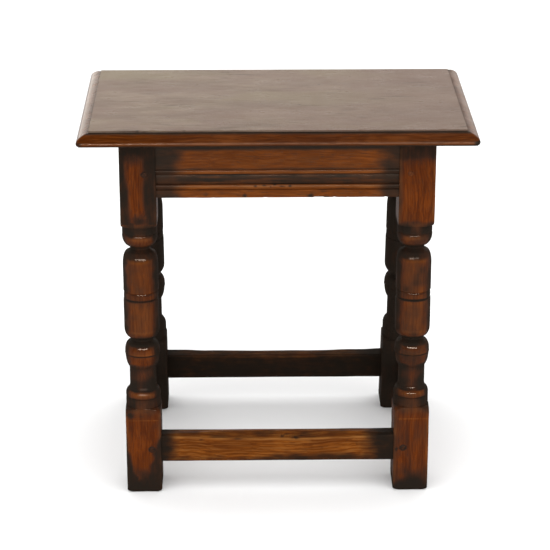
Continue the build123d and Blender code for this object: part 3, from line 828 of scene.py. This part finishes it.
def build_board():
    hx, hy = BOARD_LENGTH / 2, BOARD_WIDTH / 2
    fx, fy = hx - END_BORDER, hy - SIDE_BORDER
    co, faces = board_shape()
    waves = 0.5 + 0.5 * noise(co, (60, 26, 30), 5)
    fine = np.clip(noise(co, (12, 5, 5), 6), 0, 1)
    co = co - normals(co, faces) * (BOARD_WEAR * waves + BOARD_DENTS * fine)[:, None]

    # chips along the field's edge, but not at the rear
    chip = smooth(noise(co, (6, 5, 5), 8), 0.62, 0.95)
    chip = chip * (np.abs(co[:, 2] - HEIGHT) < 1.0) * (co[:, 1] < fy - 20)
    outward = np.maximum(np.abs(co[:, 0]) / fx, np.abs(co[:, 1]) / fy)
    co[:, 2] -= CHIP_DEPTH * chip * smooth(outward, 0.985, 0.999)
    obj = make_piece("moulded_top_board", co, faces, Matrix.Identity(4), ["top_board"])

    # dark beside the field and at the front corners, painted shade under the nose; rubbed on the nose, with a
    # painted highlight
    from_end, from_side = hx - np.abs(co[:, 0]), (hy - np.abs(co[:, 1])) / WIDER
    inset = np.minimum(from_end, from_side)
    down = HEIGHT - co[:, 2]
    dark = (down > 0.5) * np.maximum(0.97 * smooth(inset, 11.8, 13.0), 0.75 * smooth(inset, 7.5, 11.8))
    dark = dark * (1 - 0.55 * smooth(from_side - from_end, -0.5, 1.5))
    # painted shade under the nose
    dark = np.maximum(dark, 0.75 * smooth(down, 12.6, 14.6))
    corner = np.hypot(from_end, hy - np.abs(co[:, 1]))
    tip = (1 - smooth(corner, 5, 11)) * smooth(down, 8, 11)
    dark = np.maximum(dark, np.where(co[:, 0] > 0, 0.95, 0.6) * tip)
    # the nose: rubbed, and painted lighter as a highlight
    bare = 0.7 + 0.3 * noise(co, (18, 18, 9), 12)
    rub = 0.45 * bare * hump(down, 11.8, 1.6) * (1 - tip)
    field = smooth(inset, 14.6, 15.2) * (down < 2)
    paint(obj, dark=np.clip(dark, 0, 1), rub=rub, field=field, gco=co * MM)
    return obj


# ------------------------------------------------------------------ materials


def rgb(r, g, b):
    """Linear colour from 0-255 display values."""
    out = []
    for c in (r, g, b):
        c = c / 255
        out.append(c / 12.92 if c <= 0.04045 else ((c + 0.055) / 1.055) ** 2.4)
    return (*out, 1.0)


# grain of the oak, in cycles per metre along and across it
RINGS = (9, 55, 55)
FIBRES = (26, 330, 330)
LINES = (22, 480, 480)
PORES = (70, 1300, 1300)
BLOTCHES = (32, 48, 48)
PATCHES = (11, 14, 14)
# and of the board's field
FIELD_RINGS = (7, 26, 26)
FIELD_FIBRES = (20, 260, 260)
FIELD_STREAKS = (19, 170, 170)

# the field's colours: the wood's own tone with painted reflection of the bright walls mixed in
FIELD_DEEP, FIELD_LIGHT = rgb(91, 74, 62), rgb(113, 96, 82)
FIELD_CLOUD, FIELD_OLIVE = rgb(98, 78, 68), rgb(105, 92, 72)
FIELD_RIGHT, FIELD_STREAK, FIELD_MARK = rgb(90, 68, 58), rgb(60, 44, 35), rgb(40, 29, 22)

# pits, cracks and streaks in the field of the board: place, half length and half width in mm, depth
FIELD_MARKS = (
    (57, 57, 2.2, 1.6, 0.8), (28.9, -23.8, 2.4, 1.5, 0.8), (11, 41, 21, 0.9, 0.5), (-184, -7, 20, 0.8, 0.7),
    (-152, -4, 5, 1.6, 0.4), (222, -39.5, 9, 0.9, 0.7), (228, -111, 7, 1.3, 0.95),
    (-172.5, -120, 2.6, 1.9, 0.9), (-115.3, -121, 2.2, 1.3, 0.7), (96, -84, 12, 0.8, 0.4),
    (-60, 22, 15, 0.8, 0.35), (150, 20, 14, 0.8, 0.35),
)


class Graph:
    """The node tree of a material or a world, and short ways to add nodes to it."""

    def __init__(self, owner, shader="BSDF_PRINCIPLED"):
        self.owner = owner
        owner.use_nodes = True
        self.tree = owner.node_tree
        self.shader = next(n for n in self.tree.nodes if n.type == shader)

    def put(self, socket, value):
        if isinstance(value, bpy.types.NodeSocket):
            self.tree.links.new(value, socket)
        else:
            socket.default_value = value

    def surface(self, name, value):
        self.put(self.shader.inputs[name], value)

    def node(self, kind, inputs, out=0, **props):
        n = self.tree.nodes.new(kind)
        for k, v in props.items():
            setattr(n, k, v)
        for k, v in inputs.items():
            self.put(n.inputs[k], v)
        return n.outputs[out]

    def attribute(self, name, out="Fac"):
        return self.node("ShaderNodeAttribute", {}, out, attribute_name=name, attribute_type="GEOMETRY")

    def vector(self, operation, a, b):
        return self.node("ShaderNodeVectorMath", {0: a, 1: b}, 0, operation=operation)

    def math(self, operation, a, b=0.0, clamp=False):
        return self.node("ShaderNodeMath", {0: a, 1: b}, 0, operation=operation, use_clamp=clamp)

    def noise(self, vector, scale, detail=3.0, rough=0.55):
        v = self.vector("MULTIPLY", vector, scale)
        inputs = {"Vector": v, "Scale": 1.0, "Detail": detail, "Roughness": rough}
        return self.node("ShaderNodeTexNoise", inputs, "Fac")

    def warped(self, vector, scale, amount):
        """The vector with its second and third parts pushed about a little."""
        warp = self.node("ShaderNodeTexNoise", {"Vector": vector, "Scale": scale, "Detail": 2.0}, "Color")
        warp = self.vector("SUBTRACT", warp, (0.5, 0.5, 0.5))
        warp = self.vector("MULTIPLY", warp, (0.0, amount, amount))
        return self.vector("ADD", vector, warp)

    def ramp(self, value, low, high, to_low=0.0, to_high=1.0):
        inputs = {"Value": value, "From Min": low, "From Max": high, "To Min": to_low, "To Max": to_high}
        return self.node("ShaderNodeMapRange", inputs, 0, interpolation_type="SMOOTHSTEP")

    def mix(self, factor, a, b):
        n = self.tree.nodes.new("ShaderNodeMix")
        n.data_type = "RGBA"
        self.put(n.inputs[0], factor)
        self.put(n.inputs[6], a)
        self.put(n.inputs[7], b)
        return n.outputs[2]

    def bump(self, height, strength, distance):
        inputs = {"Height": height, "Strength": strength, "Distance": distance}
        return self.node("ShaderNodeBump", inputs, "Normal")


def oak(name, light, deep, dirt_and_shade, rubbed, rough, specular, coat=0.0, contrast=0.18, pale=0.12):
    """Old oak along the grain of gco, with dirt and painted shade from the darkening attribute, and wear and
    painted highlights from the lightening one.
    """
    g = Graph(bpy.data.materials.new(name))
    gco = g.attribute("gco", "Vector")
    p = g.warped(gco, 9.0, 0.02)
    rings = g.noise(p, RINGS, 3)
    fibre = g.noise(p, FIBRES, 3, 0.6)
    lines = g.noise(p, LINES, 2, 0.5)
    pores = g.noise(p, PORES, 2, 0.5)
    blotch = g.noise(gco, BLOTCHES, 4, 0.6)
    patch = g.noise(gco, PATCHES, 2, 0.5)

    tone = g.math("ADD", g.math("MULTIPLY", rings, 0.5), g.math("MULTIPLY", fibre, 0.5))
    colour = g.mix(g.ramp(tone, 0.5 - contrast, 0.5 + contrast), deep, light)
    pore = g.ramp(pores, 0.58, 0.68)
    colour = g.mix(g.math("MULTIPLY", pore, 0.5), colour, dirt_and_shade)
    colour = g.mix(g.ramp(lines, 0.52, 0.62, 0, 0.55), colour, deep)
    colour = g.mix(g.ramp(lines, 0.48, 0.4, 0, pale), colour, rubbed)
    colour = g.mix(g.ramp(patch, 0.48, 0.72, 0, 0.4), colour, deep)
    # lightening: wear, and painted highlights on turnings, rail beads and the board's nose
    rub = g.math("MULTIPLY", g.attribute("rub"), g.ramp(fibre, 0.3, 0.6, 0.5, 1.0), clamp=True)
    colour = g.mix(rub, colour, rubbed)

    # darkening: dirt, and painted shade on hidden sides, turning sides and under the board
    dark = g.attribute("dark")
    spread = g.math("ADD", dark, g.math("MULTIPLY", g.math("SUBTRACT", blotch, 0.5), 0.7))
    spread = g.math("ADD", spread, g.math("MULTIPLY", g.math("SUBTRACT", fibre, 0.5), 0.35))
    dirt_and_shade_amount = g.math("MULTIPLY", g.ramp(spread, 0.05, 1.0), g.ramp(dark, 0.0, 0.25))
    g.surface("Base Color", g.mix(dirt_and_shade_amount, colour, dirt_and_shade))

    r = g.math("ADD", g.math("MULTIPLY", blotch, 0.22), rough - 0.11)
    r = g.math("ADD", r, g.math("MULTIPLY", dirt_and_shade_amount, 0.14))
    g.surface("Roughness", g.math("ADD", r, g.math("MULTIPLY", pore, 0.12), clamp=True))
    height = g.math("ADD", g.math("MULTIPLY", fibre, 0.5), g.math("MULTIPLY", pore, -0.6))
    height = g.math("ADD", height, g.math("MULTIPLY", blotch, 0.8))
    g.surface("Normal", g.bump(height, 0.22, 0.0006))
    g.surface("Coat Weight", g.ramp(dirt_and_shade_amount, 0.6, 1.0, coat, 0.2 * coat))
    g.shader.inputs["Specular IOR Level"].default_value = specular
    g.shader.inputs["Coat Roughness"].default_value = 0.1
    return g


def board_oak():
    """The board: grey brown field with old marks, its grey partly painted reflection of the bright walls;
    orange brown moulding.
    """
    g = oak(
        "top_oak", rgb(86, 42, 9), rgb(60, 25, 4), rgb(34, 26, 19), rgb(120, 72, 40), rough=0.3, specular=0.03
    )
    gco = g.attribute("gco", "Vector")
    field = g.attribute("field")
    p = g.warped(gco, 7.0, 0.03)
    rings = g.noise(p, FIELD_RINGS, 3, 0.6)
    fibre = g.noise(p, FIELD_FIBRES, 3, 0.6)
    streaks = g.noise(p, FIELD_STREAKS, 3, 0.6)
    cloud = g.noise(gco, (8, 14, 14), 3)
    tint = g.noise(gco, (6, 17, 17), 2)
    worn = g.ramp(g.noise(gco, (10, 24, 24), 2), 0.42, 0.62)
    x = g.node("ShaderNodeSeparateXYZ", {0: gco}, 0)

    # field colour: grey brown, partly painted reflection of the bright walls
    tone = g.math("ADD", g.math("MULTIPLY", rings, 0.65), g.math("MULTIPLY", fibre, 0.35))
    colour = g.mix(g.ramp(tone, 0.36, 0.64), FIELD_DEEP, FIELD_LIGHT)
    colour = g.mix(g.ramp(cloud, 0.42, 0.62, 0, 0.7), colour, FIELD_CLOUD)
    colour = g.mix(g.ramp(tint, 0.48, 0.66, 0, 0.7), colour, FIELD_OLIVE)
    colour = g.mix(g.ramp(x, -0.1, 0.24, 0, 0.72), colour, FIELD_RIGHT)
    colour = g.mix(g.math("MULTIPLY", worn, g.ramp(streaks, 0.56, 0.68, 0, 0.6)), colour, FIELD_STREAK)
    for mark_x, mark_y, length, width, depth in FIELD_MARKS:
        off = g.vector("SUBTRACT", p, (mark_x * MM, mark_y * MM, HEIGHT * MM))
        off = g.vector("MULTIPLY", off, (1000 / length, 1000 / width, 0))
        span = g.node("ShaderNodeVectorMath", {0: off}, "Value", operation="LENGTH")
        colour = g.mix(g.ramp(span, 0.3, 1.2, depth, 0), colour, FIELD_MARK)
    moulding = g.shader.inputs["Base Color"].links[0].from_socket
    g.surface("Base Color", g.mix(field, moulding, colour))

    # the left end of the moulding is the most polished
    polish = g.math("MULTIPLY", g.ramp(x, -0.19, -0.09, -0.2, 0.06), g.math("SUBTRACT", 1.0, field))
    rough = g.shader.inputs["Roughness"].links[0].from_socket
    g.surface("Roughness", g.math("ADD", rough, polish))
    return g.owner


def plain_wood(name, light, deep, rough, scale):
    """Oak on small CAD pieces, from their own coordinates."""
    g = Graph(bpy.data.materials.new(name))
    co = g.node("ShaderNodeTexCoord", {}, "Object")
    fibre = g.noise(co, scale, 3, 0.6)
    blotch = g.noise(co, (90, 90, 90), 3)
    colour = g.mix(g.ramp(fibre, 0.35, 0.65), deep, light)
    g.surface("Base Color", g.mix(g.ramp(blotch, 0.45, 0.7, 0, 0.6), colour, deep))
    g.surface("Roughness", g.ramp(blotch, 0.3, 0.7, rough - 0.08, rough + 0.1))
    g.surface("Normal", g.bump(fibre, 0.3, 0.0004))
    g.shader.inputs["Specular IOR Level"].default_value = 0.03
    return g.owner


def old_steel():
    """Dull steel with brown spots of rust."""
    g = Graph(bpy.data.materials.new("screw_steel"))
    co = g.node("ShaderNodeTexCoord", {}, "Object")
    spots = g.noise(co, (700, 700, 700), 4, 0.6)
    turns = g.noise(co, (300, 300, 1600), 2)
    g.surface("Base Color", g.mix(g.ramp(spots, 0.45, 0.65), rgb(120, 116, 110), rgb(70, 48, 36)))
    g.surface("Metallic", g.ramp(spots, 0.45, 0.65, 0.95, 0.3))
    g.surface("Roughness", g.ramp(spots, 0.3, 0.7, 0.35, 0.7))
    g.surface("Normal", g.bump(turns, 0.2, 0.0002))
    return g.owner


def dress(obj, material):
    obj.data.materials.clear()
    obj.data.materials.append(material)


# ------------------------------------------------------------------ build the object

leg_oak = oak(
    "leg_oak", rgb(102, 46, 5), rgb(67, 27, 3), rgb(34, 28, 23), rgb(128, 74, 32),
    rough=0.24, specular=0.0, coat=0.1,
).owner
rail_oak = oak(
    "rail_oak", rgb(122, 64, 22), rgb(88, 43, 12), rgb(36, 28, 22), rgb(128, 82, 44),
    rough=0.3, specular=0.018, coat=0.012,
).owner
stretcher_oak = oak(
    "stretcher_oak", rgb(126, 70, 22), rgb(78, 37, 10), rgb(29, 23, 18), rgb(140, 92, 44),
    rough=0.36, specular=0.01, contrast=0.16, pale=0.32,
).owner
top_oak = board_oak()

seed = 1
for depth_name, y_side in (("front", -1), ("rear", 1)):
    for side_name, x_side in (("left", -1), ("right", 1)):
        dress(build_leg(f"leg_{depth_name}_{side_name}", x_side, y_side, seed), leg_oak)
        seed += 1
dress(build_rail_long("rail_front", -1, seed=11), rail_oak)
dress(build_rail_long("rail_rear", 1, seed=12), rail_oak)
dress(build_rail_side("rail_left", -1, seed=13), rail_oak)
dress(build_rail_side("rail_right", 1, seed=14), rail_oak)
dress(build_stretcher_long("stretcher_front", -1, wear=4.3, seed=21), stretcher_oak)
dress(build_stretcher_long("stretcher_rear", 1, wear=2.7, seed=22), stretcher_oak)
dress(build_stretcher_side("stretcher_left", -1, wear=1.2, seed=23), stretcher_oak)
dress(build_stretcher_side("stretcher_right", 1, wear=1.2, seed=24), stretcher_oak)
dress(build_board(), top_oak)

peg_oak = plain_wood("peg_oak", rgb(58, 32, 18), rgb(30, 19, 13), 0.45, (600, 600, 600))
clean_peg_oak = plain_wood("clean_peg_oak", rgb(96, 48, 16), rgb(66, 31, 10), 0.45, (600, 600, 600))
button_oak = plain_wood("button_oak", rgb(150, 112, 74), rgb(104, 72, 44), 0.6, (60, 400, 400))
steel = old_steel()
for name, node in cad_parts.items():
    if name == "peg_front_rail_right_end":
        dress(node, clean_peg_oak)
    elif name.startswith("peg_"):
        dress(node, peg_oak)
    elif name.startswith("button_screw_"):
        dress(node, steel)
    elif name.startswith("button_"):
        dress(node, button_oak)


# ------------------------------------------------------------------ stage, light and camera

FLOOR_HALF = 8.0
FLOOR_TONES = ((0.90, 0.90, 0.90, 1), (0.93, 0.93, 0.93, 1))
ROOM_LIGHT = 1.4
# strength of the room in reflections: from, to, value before, value after
CEILING = (0.3, 0.88, 3.2, 0.05)  # by height: bright walls, dark ceiling
FRONT = (-0.75, -0.1, 0.12, 1.0)  # by depth: dark behind the camera
SIDES = (0.08, 0.34, 1.0, 1.45)  # by distance from the middle: brighter beside the stool
ENDS = (0.45, 0.8, 1.0, 0.3)  # and dimmer again at the far left and right
ROOM_TINT = (1.0, 0.96, 0.88, 1)
STRIP_TINT = (1.0, 0.8, 0.64)
LENS, SENSOR = 122.33, 36
CAMERA_PLACE = (-0.0451, -2.2811, 1.2720)
CAMERA_TILT, CAMERA_PAN, CAMERA_ROLL = math.radians(65.91), math.radians(-1.10), 0.0020


def make_floor():
    h = FLOOR_HALF
    mesh = bpy.data.meshes.new("floor")
    mesh.from_pydata([(-h, -h, 0), (h, -h, 0), (h, h, 0), (-h, h, 0)], [], [(0, 1, 2, 3)])
    floor = bpy.data.objects.new("floor", mesh)
    bpy.context.scene.collection.objects.link(floor)
    g = Graph(bpy.data.materials.new("floor_white"))
    co = g.node("ShaderNodeTexCoord", {}, "Object")
    g.surface("Base Color", g.mix(g.noise(co, (3, 3, 3), 2), *FLOOR_TONES))
    g.shader.inputs["Roughness"].default_value = 0.9
    g.shader.inputs["Specular IOR Level"].default_value = 0.1
    floor.data.materials.append(g.owner)


def make_light(name, place, aim, size, power, colour=(1, 1, 1)):
    data = bpy.data.lights.new(name, "AREA")
    data.shape = "RECTANGLE"
    data.size, data.size_y = size
    data.energy = power
    data.color = colour
    light = bpy.data.objects.new(name, data)
    bpy.context.scene.collection.objects.link(light)
    light.location = place
    light.rotation_euler = (Vector(aim) - Vector(place)).to_track_quat("-Z", "Y").to_euler()
    return light


def make_world():
    """Even light for the room; in reflections the walls are white and the ceiling is dark."""
    world = bpy.data.worlds.new("studio")
    bpy.context.scene.world = world
    g = Graph(world, "BACKGROUND")
    direction = g.node("ShaderNodeTexCoord", {}, "Generated")
    x, y, z = (g.node("ShaderNodeSeparateXYZ", {0: direction}, axis) for axis in "XYZ")
    aside = g.math("ABSOLUTE", x)
    walls = g.math("MULTIPLY", g.ramp(z, *CEILING), g.ramp(y, *FRONT))
    sides = g.math("MULTIPLY", g.ramp(aside, *SIDES), g.ramp(aside, *ENDS))
    seen = g.math("MULTIPLY", walls, sides)
    glossy = g.node("ShaderNodeLightPath", {}, "Is Glossy Ray")
    g.surface("Strength", g.node("ShaderNodeMix", {0: glossy, 2: ROOM_LIGHT, 3: seen}, data_type="FLOAT"))
    g.surface("Color", g.mix(glossy, (1.0, 1.0, 1.0, 1), ROOM_TINT))


def make_camera():
    data = bpy.data.cameras.new("camera")
    data.lens = LENS
    data.sensor_width = SENSOR
    data.sensor_fit = "HORIZONTAL"
    data.clip_end = 100
    camera = bpy.data.objects.new("camera", data)
    bpy.context.scene.collection.objects.link(camera)
    turn = Matrix.Rotation(CAMERA_PAN, 4, "Z") @ Matrix.Rotation(CAMERA_TILT, 4, "X")
    camera.matrix_world = Matrix.Translation(CAMERA_PLACE) @ turn @ Matrix.Rotation(CAMERA_ROLL, 4, "Z")
    bpy.context.scene.camera = camera


make_floor()
make_world()
strip = make_light(
    "strip", place=(0.0, -2.7, 1.15), aim=(0, 0, 0.3), size=(3.4, 0.28), power=470, colour=STRIP_TINT
)
strip.visible_diffuse = False
overhead = make_light("overhead", place=(0.0, -0.25, 2.3), aim=(0, 0, 0), size=(1.7, 1.4), power=8)
overhead.visible_glossy = False
make_camera()
bpy.context.scene.view_settings.view_transform = "Standard"

bpy.context.view_layer.update()
